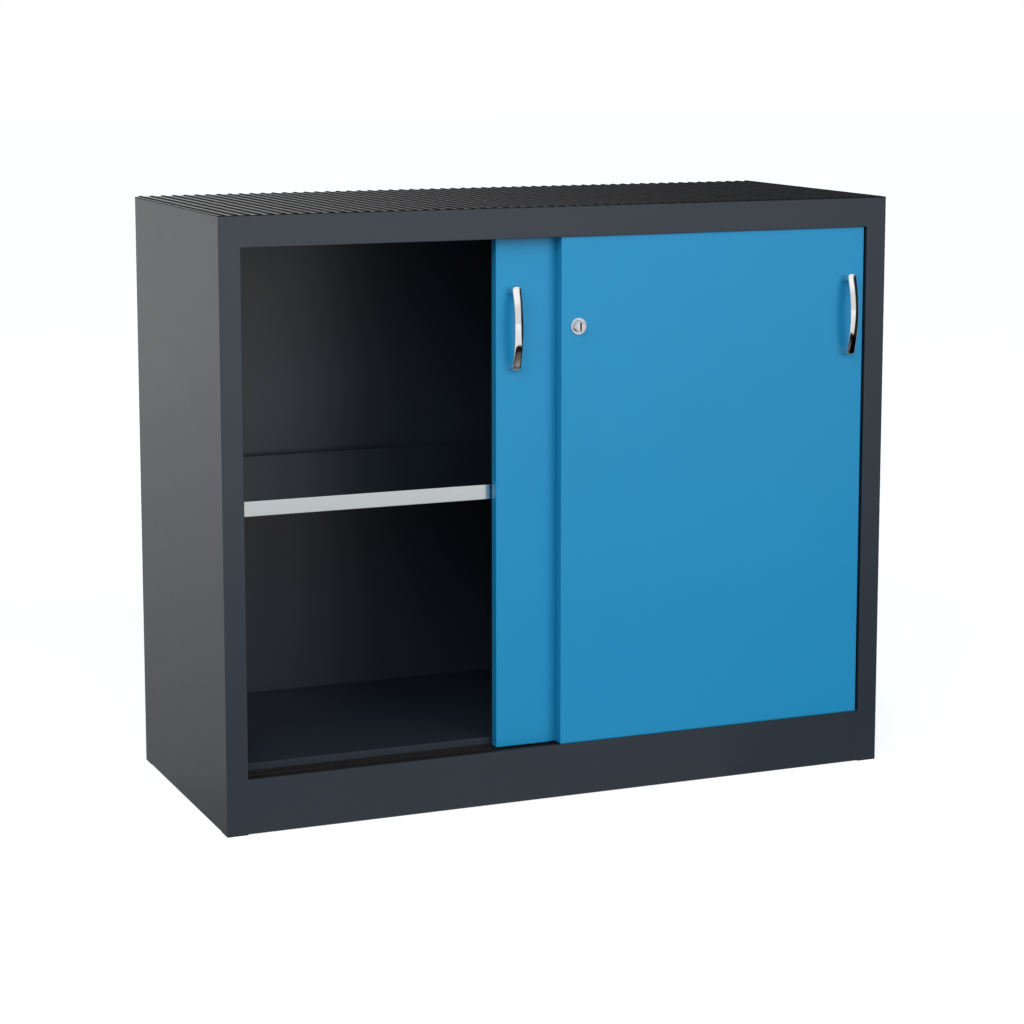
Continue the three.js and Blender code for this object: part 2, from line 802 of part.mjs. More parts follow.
const nutProfile = [
  [housingRadius + lockFit, doorSheet + seam],
  [nutRadius, doorSheet + seam],
  [nutRadius, doorSheet + seam + nutHeight],
  [housingRadius + lockFit, doorSheet + seam + nutHeight],
];
add(lock, 'lock_nut', materials.zinc, turned(nutProfile, lockSides));

const plugBore = plugRadius + lockFit;
const plugSeat = cylinderFront + plugDepth + lockFit;
const cylinderProfile = [
  [0, plugSeat],
  [plugBore, plugSeat],
  [plugBore, cylinderFront],
  [cylinderRadius - cylinderBevel, cylinderFront],
  [cylinderRadius, cylinderFront + cylinderBevel],
  [cylinderRadius, cylinderBack],
  [boltRadius, cylinderBack],
  [boltRadius, doorThickness + lockReach - lockStroke],
  [0, doorThickness + lockReach - lockStroke],
];
add(lock, 'lock_cylinder', materials.nickel, turned(cylinderProfile, lockSides));

const plug = new THREE.CylinderGeometry(plugRadius, plugRadius, plugDepth, lockSides);
const keySlot = box(
  -keySlotWidth / 2,
  keySlotWidth / 2,
  -plugDepth / 2 - overrun,
  keySlotDepth - plugDepth / 2,
  -keySlotHeight / 2,
  keySlotHeight / 2,
);
add(lock, 'lock_plug', materials.nickel, cut(plug, [keySlot]), 0, cylinderFront + plugDepth / 2);

// Strike on the rear door's front, at its right edge
const strikeMiddle = fittingHeight - doorBottom;
const strike = box(
  doorWidth - strikeWidth,
  doorWidth,
  -strikeThickness,
  -seam,
  strikeMiddle - strikeHeight / 2,
  strikeMiddle + strikeHeight / 2,
);
add(rearDoor, 'lock_strike', materials.zinc, strike);

export default cabinet;
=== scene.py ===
"""Looks of a low steel cabinet with two sliding doors, in metres, in the frame of its construction model.

The body is anthracite powder coat, the doors are blue, the shelf is galvanised and a ribbed mat is on top.
X runs right along the front, Y runs back from the front and Z runs up.
"""
import json
import math

import bmesh
import bpy
from mathutils import Matrix, Vector


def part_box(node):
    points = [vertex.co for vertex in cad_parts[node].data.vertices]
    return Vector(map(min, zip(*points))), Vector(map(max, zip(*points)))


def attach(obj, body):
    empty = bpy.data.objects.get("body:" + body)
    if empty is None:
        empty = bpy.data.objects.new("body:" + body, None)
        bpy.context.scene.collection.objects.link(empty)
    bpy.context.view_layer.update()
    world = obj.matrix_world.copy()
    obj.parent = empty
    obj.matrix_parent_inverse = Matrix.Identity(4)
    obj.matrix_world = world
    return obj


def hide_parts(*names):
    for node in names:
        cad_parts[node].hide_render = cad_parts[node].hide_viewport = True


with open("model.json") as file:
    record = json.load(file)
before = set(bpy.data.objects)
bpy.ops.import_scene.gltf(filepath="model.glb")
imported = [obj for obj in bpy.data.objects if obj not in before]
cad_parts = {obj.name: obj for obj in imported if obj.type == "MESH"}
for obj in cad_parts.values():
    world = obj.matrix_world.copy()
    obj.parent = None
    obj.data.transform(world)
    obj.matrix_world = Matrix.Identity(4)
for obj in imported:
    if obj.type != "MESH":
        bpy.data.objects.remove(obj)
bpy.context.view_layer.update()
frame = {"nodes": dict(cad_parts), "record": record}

# Camera, close to the photograph's
CAMERA_PLACE = (-1.78, -4.2264, 1.3)
CAMERA_YAW = math.radians(-22.81)
CAMERA_PITCH = math.radians(81.711)
CAMERA_LENS = 93.31
CAMERA_SENSOR = 36
CAMERA_SHIFT_Y = -0.10
CAMERA_RANGE = 100

# Sheet metal. A relief keeps a lip clear of its neighbour's bend, and the corner room is a strip of
# faces around the opening that keeps the large ones flat.
BODY_SHEET = 0.0012
DOOR_SHEET = 0.001
BODY_BEND = 0.0009
DOOR_BEND = 0.0016
SHELF_BEND = 0.0008
REAR_FLANGE = 0.015
POST_LIP = 0.025
HEADER_LIP = 0.003
PLINTH_LIP = 0.02
SHELF_LIP = 0.012
RELIEF = 0.0015
CORNER_ROOM = 0.003

# Rounded edges. Bevels are for edges that aren't bends.
BEND_STEPS = 3
DOOR_BEND_STEPS = 4
BEVEL_STEPS = 2
FACE_BEVEL = 0.0006
FINE_BEVEL = 0.0003
ROUND_PROFILE = 0.5

# Degrees, the second one from the middle of a square to its lower left corner
QUARTER_TURN = 90
FIRST_CORNER = 225

# Meshes and their shading. A face looks up where the Z of its normal is above FACES_UP.
SHARP_ANGLE = math.radians(32)
TINY_ANGLE = math.radians(0.5)
JOIN_DISTANCE = 1e-5
FLAT_WEIGHT = 100
FACES_UP = 0.5

# Room around the rollers and glides in the doors' cut-outs
ROLLER_ROOM = 0.0015
GLIDE_ROOM = 0.0003

# Mat
RIB_PITCH = 0.02
RIB_WIDTH = 0.008
RIB_HEIGHT = 0.0015
RIB_STEPS = 14

# Handles
HANDLE_THICKNESS = 0.005
HANDLE_END_REACH = 0.017
HANDLE_CORNER = 0.006
HANDLE_INNER_CORNER = HANDLE_CORNER * 2 / 3
HANDLE_FOOT = 0.0128
HANDLE_CROWN = 0.0014
HANDLE_EDGE = 0.0012
HANDLE_END_EDGE = 0.0045
HANDLE_SHARP_ANGLE = math.radians(50)
BOW_STEPS = 36
CORNER_STEPS = 6
CROWN_STEPS = 8
EDGE_STEPS = 4

# Lock. Its hole in the door is round, in a square cell of the door's face.
LOCK_SIDES = 96
KEY_SLOT_WIDTH = 0.003
KEY_SLOT_HEIGHT = 0.014
KEY_SLOT_DEPTH = 0.006
PLUG_RADIUS = 0.008
CYLINDER_RADIUS = 0.0095
BARREL_WALL = 0.0024
BARREL_RADIUS = CYLINDER_RADIUS + BARREL_WALL
BOLT_RADIUS = 0.004
LOCK_FIT = FINE_BEVEL / 2
LOCK_CELL_HALF = 0.014
HOLE_STEPS = 12

# Rollers
ROLLER_SIDES = 48
AXLE_HOLE = 0.0027
GROOVE_RADIUS = 0.008
GROOVE_WIDTH = 0.004


def box_of(*names):
    """Lowest and highest corner of the named nodes together."""
    boxes = [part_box(name) for name in names]
    low = Vector([min(b[0][i] for b in boxes) for i in range(3)])
    high = Vector([max(b[1][i] for b in boxes) for i in range(3)])
    return low, high


def shade(mesh, angle=SHARP_ANGLE):
    """Smooth shading, but sharp along the edges that turn by more than the angle."""
    mesh.polygons.foreach_set("use_smooth", [True] * len(mesh.polygons))
    mesh.set_sharp_from_angle(angle=angle)
    mesh.update()


def level(obj):
    """Keeps broad faces flat in shading beside their rounded edges."""
    modifier = obj.modifiers.new("flat", "WEIGHTED_NORMAL")
    modifier.keep_sharp = True
    modifier.weight = FLAT_WEIGHT


def made_from(name, bm):
    """A new object in the scene with the shape in bm, which is freed."""
    mesh = bpy.data.meshes.new(name)
    bm.to_mesh(mesh)
    bm.free()
    obj = bpy.data.objects.new(name, mesh)
    bpy.context.scene.collection.objects.link(obj)
    return obj


def apply_modifiers(obj):
    """Gives the object the mesh that its modifiers make."""
    bpy.context.view_layer.update()
    evaluated = obj.evaluated_get(bpy.context.evaluated_depsgraph_get())
    made = bpy.data.meshes.new_from_object(evaluated)
    obj.modifiers.clear()
    old, obj.data = obj.data, made
    bpy.data.meshes.remove(old)
    made.name = obj.name


def piece(name, bm, material, body, slot, *nodes, sheet=0.0, angle=SHARP_ANGLE):
    """Makes an object that rides on a body and stands for the nodes. sheet thickens a surface inwards."""
    obj = made_from(name, bm)
    if sheet:
        solid = obj.modifiers.new("sheet", "SOLIDIFY")
        solid.thickness = sheet
        solid.offset = -1
        solid.use_even_offset = True
        solid.use_quality_normals = True
        apply_modifiers(obj)
    shade(obj.data, angle)
    obj.data.materials.clear()
    obj.data.materials.append(material)
    level(obj)
    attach(obj, body)
    if nodes:
        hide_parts(*nodes)
    return obj


def panel(bm, corner, u, v, holes=()):
    """A flat grid of quads from a corner.

    u and v are each a direction and the lengths along it. holes are the cells left out.
    """
    (u_way, u_cuts), (v_way, v_cuts) = u, v
    corner, u_way, v_way = Vector(corner), Vector(u_way), Vector(v_way)
    rows = [[bm.verts.new(corner + u_way * a + v_way * b) for a in u_cuts] for b in v_cuts]
    for j in range(len(v_cuts) - 1):
        for i in range(len(u_cuts) - 1):
            if (i, j) not in holes:
                bm.faces.new((rows[j][i], rows[j][i + 1], rows[j + 1][i + 1], rows[j + 1][i]))


def weld(bm):
    """Joins points that lie together."""
    bmesh.ops.remove_doubles(bm, verts=bm.verts, dist=JOIN_DISTANCE)


def bend(bm, radius, chosen, steps=BEND_STEPS):
    """Rounds the edges that chosen(edge) picks."""
    edges = [e for e in bm.edges if chosen(e)]
    bmesh.ops.bevel(
        bm, geom=edges, offset=radius, offset_type="OFFSET", segments=steps, profile=ROUND_PROFILE,
        affect="EDGES", clamp_overlap=True, miter_outer="ARC", miter_inner="ARC",
    )
    weld(bm)


def folded(edge):
    """True where two faces meet at an angle."""
    return len(edge.link_faces) == 2 and edge.calc_face_angle(0) > SHARP_ANGLE


def refined(cad_name, name, material, body, slot, radius):
    """A copy of a node's shape with merged faces and rounded edges, which stands for it."""
    bm = bmesh.new()
    bm.from_mesh(frame["nodes"][cad_name].data)
    weld(bm)
    bmesh.ops.dissolve_limit(bm, angle_limit=TINY_ANGLE, verts=bm.verts, edges=bm.edges)
    bend(bm, radius, folded, BEVEL_STEPS)
    return piece(name, bm, material, body, slot, cad_name)


def lathe(bm, centre, profile, sides):
    """A profile of (radius, y) points turned about an axis along Y.

    A profile that starts on the axis ends there too. Any other one is closed.
    """
    centre = Vector(centre)
    rings = []
    for radius, y in profile:
        if radius < JOIN_DISTANCE:
            rings.append([bm.verts.new(centre + Vector((0, y, 0)))])
            continue
        ring = []
        for k in range(sides):
            turn = math.tau * k / sides
            point = Vector((radius * math.cos(turn), y, radius * math.sin(turn)))
            ring.append(bm.verts.new(centre + point))
        rings.append(ring)
    closed = len(rings[0]) > 1
    pairs = zip(rings, rings[1:] + rings[:1]) if closed else zip(rings, rings[1:])
    for a, b in pairs:
        for k in range(sides):
            corners = [a[k % len(a)], a[(k + 1) % len(a)], b[(k + 1) % len(b)], b[k % len(b)]]
            unique = list(dict.fromkeys(corners))
            if len(unique) > 2:
                bm.faces.new(unique)
    bmesh.ops.recalc_face_normals(bm, faces=bm.faces)


def arc(centre, radius, start, end, steps):
    """Points on a circle about (a, b), from start to end in degrees."""
    points = []
    for k in range(steps + 1):
        turn = math.radians(start + (end - start) * k / steps)
        points.append((centre[0] + radius * math.cos(turn), centre[1] + radius * math.sin(turn)))
    return points


# Materials. Noise scales are in cells per metre and depths in metres.

# Layers of detail in noise, and how strongly the finer ones show
PLAIN, SOFT, FINE, RICH = 1.0, 2.0, 3.0, 4.0
MIDDLING, CLOUDY, STREAKY = 0.5, 0.6, 0.7
# The stretch that most of a noise's values lie in
NOISE_LOW, NOISE_HIGH = 0.3, 0.7

# Powder coat
BODY_COLOUR = (0.019, 0.027, 0.037)
DOOR_COLOUR = (0.012, 0.262, 0.495)
POWDER_SPREAD = 0.02
POWDER_CLOUDS = 2.2
POWDER_PATCHES = 24
PEEL_GRAIN = 950
PEEL_STRENGTH = 0.25
PEEL_DEPTH = 0.00004
WAVE_GRAIN = 130
WAVE_STRENGTH = 0.08
WAVE_DEPTH = 0.00008

# Galvanised sheet
CRYSTAL_GRAIN = 170
CRYSTAL_TONES = ((0.70, 0.745, 0.765), (0.73, 0.775, 0.795))
CRYSTAL_ROUGHNESS = (0.20, 0.23)
CRYSTAL_RANGE = (0.1, 0.9)
ROLLED_STRETCH = (6, 400, 400)
ROLLED_STRENGTH = 0.05
ROLLED_DEPTH = 0.00001

# Chrome
POLISH_STRETCH = (300, 300, 30)
POLISH_GRAIN = 6.0
POLISH_TONES = ((0.86, 0.86, 0.87), (0.92, 0.92, 0.92))
POLISH_ROUGHNESS = (0.03, 0.07)
POLISH_STRENGTH = 0.02
POLISH_DEPTH = 0.00001

# Satin and zinc plate
PLATE_FINER = 8
PLATE_STRENGTH = 0.08
PLATE_DEPTH = 0.00002

# Rubber and plastic
MOULDED_CLOUDS = 12
MOULDED_PATCHES = 60
MOULDED_STRENGTH = 0.3


def node(tree, kind, inputs=None, **settings):
    """Adds a node; inputs maps a socket's name to a value or to another node's output."""
    made = tree.nodes.new(kind)
    for key, value in settings.items():
        setattr(made, key, value)
    for key, value in (inputs or {}).items():
        if isinstance(value, bpy.types.NodeSocket):
            tree.links.new(value, made.inputs[key])
        else:
            made.inputs[key].default_value = value
    return made


def place_in(tree, scale=(1, 1, 1)):
    """Coordinates fixed to the piece, in metres, stretched by scale."""
    coordinates = node(tree, "ShaderNodeTexCoord").outputs["Object"]
    return node(tree, "ShaderNodeMapping", {"Vector": coordinates, "Scale": scale}).outputs["Vector"]


def noise(tree, place, scale, detail=SOFT, roughness=MIDDLING):
    """Noise from 0 to 1 by place."""
    inputs = {"Vector": place, "Scale": scale, "Detail": detail, "Roughness": roughness}
    return node(tree, "ShaderNodeTexNoise", inputs).outputs["Fac"]


def between(tree, factor, low, high, start=NOISE_LOW, end=NOISE_HIGH):
    """A number from low to high as the factor goes from start to end."""
    inputs = {"Value": factor, "From Min": start, "From Max": end, "To Min": low, "To Max": high}
    return node(tree, "ShaderNodeMapRange", inputs).outputs["Result"]


def either(tree, a, b):
    """The larger of two numbers."""
    return node(tree, "ShaderNodeMath", {0: a, 1: b}, operation="MAXIMUM").outputs["Value"]


def blend(tree, factor, a, b):
    """The value a where the factor is 0 and b where it is 1."""
    return node(tree, "ShaderNodeMapRange", {"Value": factor, "To Min": a, "To Max": b}).outputs["Result"]


def tone(tree, factor, dark, light, start=NOISE_LOW, end=NOISE_HIGH):
    """A colour from dark to light as the factor goes from start to end."""
    ramp = node(tree, "ShaderNodeValToRGB", {"Fac": factor})
    ramp.color_ramp.elements[0].position = start
    ramp.color_ramp.elements[0].color = (*dark, 1)
    ramp.color_ramp.elements[1].position = end
    ramp.color_ramp.elements[1].color = (*light, 1)
    return ramp.outputs["Color"]


def bumped(tree, height, strength, distance, normal=None):
    """The surface's normal with a bump, on top of another bump's normal where one is given."""
    inputs = {"Height": height, "Strength": strength, "Distance": distance}
    if normal is not None:
        inputs["Normal"] = normal
    return node(tree, "ShaderNodeBump", inputs).outputs["Normal"]


def spread(colour, share):
    """The colour a little darker and a little lighter."""
    return [c * (1 - share) for c in colour], [c * (1 + share) for c in colour]


def surface(name, build):
    """A material whose one shader takes the sockets that build(tree) returns."""
    material = bpy.data.materials.new(name)
    material.use_nodes = True
    tree = material.node_tree
    shader = tree.nodes["Principled BSDF"]
    for key, value in build(tree).items():
        if isinstance(value, bpy.types.NodeSocket):
            tree.links.new(value, shader.inputs[key])
        else:
            shader.inputs[key].default_value = value
    return material


def powder_coat(colour, roughness, shine):
    """Powder coat: a fine orange peel, a faint cloudiness and a gloss that varies a little."""
    def build(tree):
        place = place_in(tree)
        clouds = noise(tree, place, POWDER_CLOUDS, RICH, CLOUDY)
        peel = noise(tree, place, PEEL_GRAIN)
        waves = noise(tree, place, WAVE_GRAIN, PLAIN)
        fine = bumped(tree, peel, PEEL_STRENGTH, PEEL_DEPTH)
        return {
            "Base Color": tone(tree, clouds, *spread(colour, POWDER_SPREAD)),
            "Roughness": between(tree, noise(tree, place, POWDER_PATCHES, FINE), *roughness),
            "Normal": bumped(tree, waves, WAVE_STRENGTH, WAVE_DEPTH, fine),
            "Specular IOR Level": shine,
        }
    return build


def galvanised(tree):
    """Zinc-coated sheet: soft crystals a few millimetres wide and faint rolling marks."""
    place = place_in(tree)
    cells = node(tree, "ShaderNodeTexVoronoi", {"Vector": place, "Scale": CRYSTAL_GRAIN}).outputs["Color"]
    crystal = node(tree, "ShaderNodeRGBToBW", {"Color": cells}).outputs["Val"]
    rolled = noise(tree, place_in(tree, ROLLED_STRETCH), 1.0, FINE)
    return {
        "Base Color": tone(tree, crystal, *CRYSTAL_TONES, *CRYSTAL_RANGE),
        "Metallic": 1.0,
        "Roughness": between(tree, crystal, *CRYSTAL_ROUGHNESS, *CRYSTAL_RANGE),
        "Normal": bumped(tree, rolled, ROLLED_STRENGTH, ROLLED_DEPTH),
    }


def chrome(tree):
    """Polished plate with hairline polishing marks."""
    place = place_in(tree, POLISH_STRETCH)
    marks = noise(tree, place, POLISH_GRAIN, RICH, STREAKY)
    return {
        "Base Color": tone(tree, marks, *POLISH_TONES),
        "Metallic": 1.0,
        "Roughness": between(tree, marks, *POLISH_ROUGHNESS),
        "Normal": bumped(tree, marks, POLISH_STRENGTH, POLISH_DEPTH),
    }


def plated(tones, roughness, grain):
    """Satin or zinc plate with a mottled tone."""
    def build(tree):
        place = place_in(tree)
        mottle = noise(tree, place, grain, RICH, CLOUDY)
        fine = noise(tree, place, grain * PLATE_FINER)
        return {
            "Base Color": tone(tree, mottle, *tones),
            "Metallic": 1.0,
            "Roughness": between(tree, mottle, *roughness),
            "Normal": bumped(tree, fine, PLATE_STRENGTH, PLATE_DEPTH),
        }
    return build


def moulded(tones, roughness, grain, depth, **extra):
    """Moulded rubber or plastic with a fine grain."""
    def build(tree):
        place = place_in(tree)
        clouds = noise(tree, place, MOULDED_CLOUDS, RICH, CLOUDY)
        patches = noise(tree, place, MOULDED_PATCHES, FINE)
        return {
            "Base Color": tone(tree, clouds, *tones),
            "Roughness": between(tree, patches, *roughness),
            "Normal": bumped(tree, noise(tree, place, grain, FINE), MOULDED_STRENGTH, depth),
            **extra,
        }
    return build


looks = {
    "body": surface("anthracite_powder_coat", powder_coat(
        BODY_COLOUR, roughness=(0.38, 0.395), shine=0.7)),
    "door": surface("blue_powder_coat", powder_coat(
        DOOR_COLOUR, roughness=(0.33, 0.37), shine=0.5)),
    "galvanised": surface("galvanised_sheet", galvanised),
    "zinc": surface("zinc_plate", plated(
        tones=((0.5, 0.52, 0.54), (0.64, 0.66, 0.68)), roughness=(0.3, 0.42), grain=90)),
    "rubber": surface("matt_rubber", moulded(
        tones=((0.007, 0.007, 0.008), (0.011, 0.011, 0.012)), roughness=(0.7, 0.8),
        grain=1500, depth=0.00004, **{"Specular IOR Level": 0.1})),
    "plastic": surface("black_plastic", moulded(
        tones=((0.008, 0.008, 0.008), (0.013, 0.012, 0.012)), roughness=(0.5, 0.6),
        grain=1100, depth=0.00003, **{"Specular IOR Level": 0.3})),
    "nylon": surface("natural_nylon", moulded(
        tones=((0.62, 0.61, 0.56), (0.7, 0.69, 0.64)), roughness=(0.4, 0.5),
        grain=900, depth=0.00003,
        **{"Subsurface Weight": 0.15, "Subsurface Radius": (0.002, 0.002, 0.0015)})),
    "chrome": surface("chrome_plate", chrome),
    "nickel": surface("satin_nickel", plated(
        tones=((0.72, 0.74, 0.80), (0.76, 0.78, 0.84)), roughness=(0.22, 0.25), grain=240)),
}
for entry in frame["record"]["subparts"]:
    shown = frame["nodes"][entry["node"]].data
    shown.materials.clear()
    shown.materials.append(looks[entry["material_slot"]])


# Body

side_low, side_high = box_of("left_side_panel", "right_side_panel")
post_low, post_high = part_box("left_front_post")
front = post_low.y
opening_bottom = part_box("plinth_rail")[1].z
opening_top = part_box("header_rail")[0].z
lid_low, lid_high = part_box("top_panel")


def body_shell():
    """Sides, posts, header and plinth: sheets welded and ground flush, drawn as their outer faces."""
    left, right = side_low.x, side_high.x
    back, bottom, top = side_high.y, side_low.z, lid_low.z
    inner_left, inner_right = post_high.x, -post_high.x
    width, depth, height = right - left, back - front, top - bottom
    across, opening = inner_right - inner_left, opening_top - opening_bottom
    x_cuts = (0, inner_left - left - CORNER_ROOM, inner_left - left, inner_left - left + RELIEF,
              inner_right - left - RELIEF, inner_right - left, inner_right - left + CORNER_ROOM, width)
    z_cuts = (0, opening_bottom - bottom - CORNER_ROOM, opening_bottom - bottom,
              opening_top - bottom, opening_top - bottom + CORNER_ROOM, height)
    x, y, z = (1, 0, 0), (0, 1, 0), (0, 0, 1)
    bm = bmesh.new()
    opening_cells = [(2, 2), (3, 2), (4, 2)]
    panel(bm, (left, front, bottom), (x, x_cuts), (z, z_cuts), opening_cells)
    panel(bm, (left, front, bottom), (z, z_cuts), (y, (0, depth)))
    panel(bm, (right, front, bottom), (y, (0, depth)), (z, z_cuts))
    panel(bm, (left, back, bottom), (z, z_cuts), (x, (0, REAR_FLANGE)))
    panel(bm, (right - REAR_FLANGE, back, bottom), (z, z_cuts), (x, (0, REAR_FLANGE)))
    post_depth = post_high.y - front
    panel(bm, (inner_left, front, opening_bottom), (y, (0, post_depth)), (z, (0, opening)))
    panel(bm, (inner_right, front, opening_bottom), (z, (0, opening)), (y, (0, post_depth)))
    panel(bm, (inner_left - POST_LIP, post_high.y, opening_bottom), (z, (0, opening)), (x, (0, POST_LIP)))
    panel(bm, (inner_right, post_high.y, opening_bottom), (z, (0, opening)), (x, (0, POST_LIP)))
    lip = (0, across - 2 * RELIEF)
    panel(bm, (inner_left + RELIEF, front, opening_top), (y, (0, HEADER_LIP)), (x, lip))
    panel(bm, (inner_left + RELIEF, front, bottom), (y, (0, PLINTH_LIP)), (x, lip))
    weld(bm)
    bend(bm, BODY_BEND, folded)
    bed_low, bed_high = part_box("lower_door_track")
    bed = (inner_left, front + BODY_SHEET, bed_low.z)
    panel(bm, bed, (x, (0, across)), (y, (0, bed_high.y - bed[1])))
    nodes = ("left_side_panel", "right_side_panel", "left_front_post", "right_front_post")
    return piece("body_shell", bm, looks["body"], "cabinet", "body", *nodes,
                 "header_rail", "plinth_rail", sheet=BODY_SHEET)


def block(bm, low, high):
    """A box from its lowest to its highest corner."""
    size = Vector(high) - Vector(low)
    matrix = Matrix.Translation((Vector(low) + Vector(high)) / 2) @ Matrix.Diagonal((*size, 1))
    bmesh.ops.create_cube(bm, size=1, matrix=matrix)


def upright(edge):
    """True for a folded edge that runs up."""
    a, b = edge.verts[0].co, edge.verts[1].co
    return folded(edge) and abs(a.z - b.z) > JOIN_DISTANCE and (a - b).xy.length < JOIN_DISTANCE


def lid():
    """The top sheet, with rounded upright corners."""
    bm = bmesh.new()
    block(bm, lid_low, lid_high)
    bend(bm, BODY_BEND, upright)
    return piece("lid", bm, looks["body"], "cabinet", "body", "top_panel")


def mat():
    """Rubber mat with round-topped ribs from front to back, and smooth valleys between them."""
    low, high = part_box("ribbed_top_mat")
    valley = high.z - RIB_HEIGHT
    ribs = round((high.x - low.x) / RIB_PITCH)
    pitch = (high.x - low.x) / ribs
    profile = [(low.x, valley)]
    for rib in range(ribs):
        middle = low.x + (rib + 0.5) * pitch
        for k in range(RIB_STEPS + 1):
            turn = math.pi * (1 - k / RIB_STEPS)
            profile.append((middle + RIB_WIDTH / 2 * math.cos(turn), valley + RIB_HEIGHT * math.sin(turn)))
    profile.append((high.x, valley))
    bm = bmesh.new()
    rows = [[bm.verts.new((x, y, z)) for x, z in profile] for y in (low.y, high.y)]
    under = [[bm.verts.new((x, y, lid_high.z)) for x, _ in profile] for y in (low.y, high.y)]
    loops = (rows[0], rows[1], under[1], under[0])
    for a, b in zip(loops, loops[1:] + loops[:1]):
        for k in range(len(profile) - 1):
            bm.faces.new((a[k], a[k + 1], b[k + 1], b[k]))
    for end in (0, -1):
        bm.faces.new([loop[end] for loop in loops])
    bmesh.ops.recalc_face_normals(bm, faces=bm.faces)
    made = piece("rib_mat", bm, looks["rubber"], "cabinet", "rubber", "ribbed_top_mat")
    # The valleys get a smoother copy of the rubber that is also lighter in tone; the lighter tone is
    # painted light for the sheen on the flats, beside darker ribs.
    made.data.materials.append(surface("smooth_rubber_painted_lighter", moulded(
        tones=((0.012, 0.012, 0.013), (0.018, 0.018, 0.019)), roughness=(0.2, 0.24),
        grain=1500, depth=0.000003)))
    for face in made.data.polygons:
        in_valley = abs(face.center.z - valley) < JOIN_DISTANCE
        face.material_index = int(face.normal.z > FACES_UP and in_valley)
    return made


def shelf():
    """Galvanised sheet folded down on all sides, with lips under its long edges."""
    low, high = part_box("shelf")
    size = high - low
    x, y, z = (1, 0, 0), (0, 1, 0), (0, 0, 1)
    xs, ys, zs = (0, RELIEF, size.x - RELIEF, size.x), (0, size.y), (0, size.z)
    bm = bmesh.new()
    panel(bm, (low.x, low.y, high.z), (x, xs), (y, ys))
    panel(bm, low, (x, xs), (z, zs))
    panel(bm, (low.x, high.y, low.z), (z, zs), (x, xs))
    panel(bm, low, (z, zs), (y, ys))
    panel(bm, (high.x, low.y, low.z), (y, ys), (z, zs))
    lip = (0, size.x - 2 * RELIEF)
    panel(bm, (low.x + RELIEF, low.y, low.z), (y, (0, SHELF_LIP)), (x, lip))
    panel(bm, (low.x + RELIEF, high.y - SHELF_LIP, low.z), (y, (0, SHELF_LIP)), (x, lip))
    weld(bm)
    bend(bm, SHELF_BEND, folded)
    return piece("shelf_board", bm, looks["galvanised"], "cabinet", "galvanised", "shelf", sheet=BODY_SHEET)


# Doors

def round_hole(bm, xs, y, zs, radius):
    """Four faces that fill an upright square around a round hole, each on one side of it."""
    (left, right), (bottom, top) = xs, zs
    middle = ((left + right) / 2, (bottom + top) / 2)
    corners = ((left, bottom), (right, bottom), (right, top), (left, top))
    for k, here in enumerate(corners):
        after = corners[(k + 1) % len(corners)]
        turn = QUARTER_TURN * k + FIRST_CORNER
        rim = arc(middle, radius, turn + QUARTER_TURN, turn, HOLE_STEPS)
        bm.faces.new([bm.verts.new((x, y, z)) for x, z in (here, after, *rim)])


def door_skin(door):
    """A door's outer tray with round bends, cut out for its rollers and glides and for the lock."""
    low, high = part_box(f"{door}_skin")
    size = high - low
    x, y, z = (1, 0, 0), (0, 1, 0), (0, 0, 1)
    slots = {"bottom": [], "top": [], "front": []}
    for side in ("left", "right"):
        for edge, kind, room in (("bottom", "roller", ROLLER_ROOM), ("top", "glide", GLIDE_ROOM)):
            a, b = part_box(f"{door}_{side}_{kind}")
            slots[edge].append((a.x - room - low.x, b.x + room - low.x))
    roller_low, roller_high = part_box(f"{door}_left_roller")
    slot_front = roller_low.y - ROLLER_ROOM - low.y
    slot_back = roller_high.y + ROLLER_ROOM - low.y
    zs = (0, size.z)
    if door == "front_door":
        a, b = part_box("lock_housing")
        lock_x, lock_z = (a.x + b.x) / 2, (a.z + b.z) / 2
        cell_xs = (lock_x - LOCK_CELL_HALF, lock_x + LOCK_CELL_HALF)
        cell_zs = (lock_z - LOCK_CELL_HALF, lock_z + LOCK_CELL_HALF)
        slots["front"].append((cell_xs[0] - low.x, cell_xs[1] - low.x))
        zs = (0, cell_zs[0] - low.z, cell_zs[1] - low.z, size.z)
    xs = tuple(sorted([0, size.x, *[v for pairs in slots.values() for pair in pairs for v in pair]]))
    ys = (0, slot_front, slot_back, size.y)

    def cells(pairs):
        """The columns of xs that lie in one of the pairs."""
        middles = [(a + b) / 2 for a, b in zip(xs, xs[1:])]
        return [i for i, m in enumerate(middles) if any(a < m < b for a, b in pairs)]

    bm = bmesh.new()
    panel(bm, low, (x, xs), (z, zs), [(i, 1) for i in cells(slots["front"])])
    if slots["front"]:
        round_hole(bm, cell_xs, low.y, cell_zs, BARREL_RADIUS)
    panel(bm, low, (z, zs), (y, ys))
    panel(bm, (high.x, low.y, low.z), (y, ys), (z, zs))
    panel(bm, low, (y, ys), (x, xs), [(1, i) for i in cells(slots["bottom"])])
    panel(bm, (low.x, low.y, high.z), (x, xs), (y, ys), [(i, 1) for i in cells(slots["top"])])
    weld(bm)
    bend(bm, DOOR_BEND, folded, DOOR_BEND_STEPS)
    return piece(f"{door}_tray", bm, looks["door"], door, "door", f"{door}_skin", sheet=DOOR_SHEET)


def curve(a, control, b, steps):
    """Points of a quadratic curve, without its first one."""
    points = []
    for k in range(1, steps + 1):
        t = k / steps
        points.append(tuple(
            (1 - t) ** 2 * p + 2 * t * (1 - t) * q + t ** 2 * r for p, q, r in zip(a, control, b)))
    return points


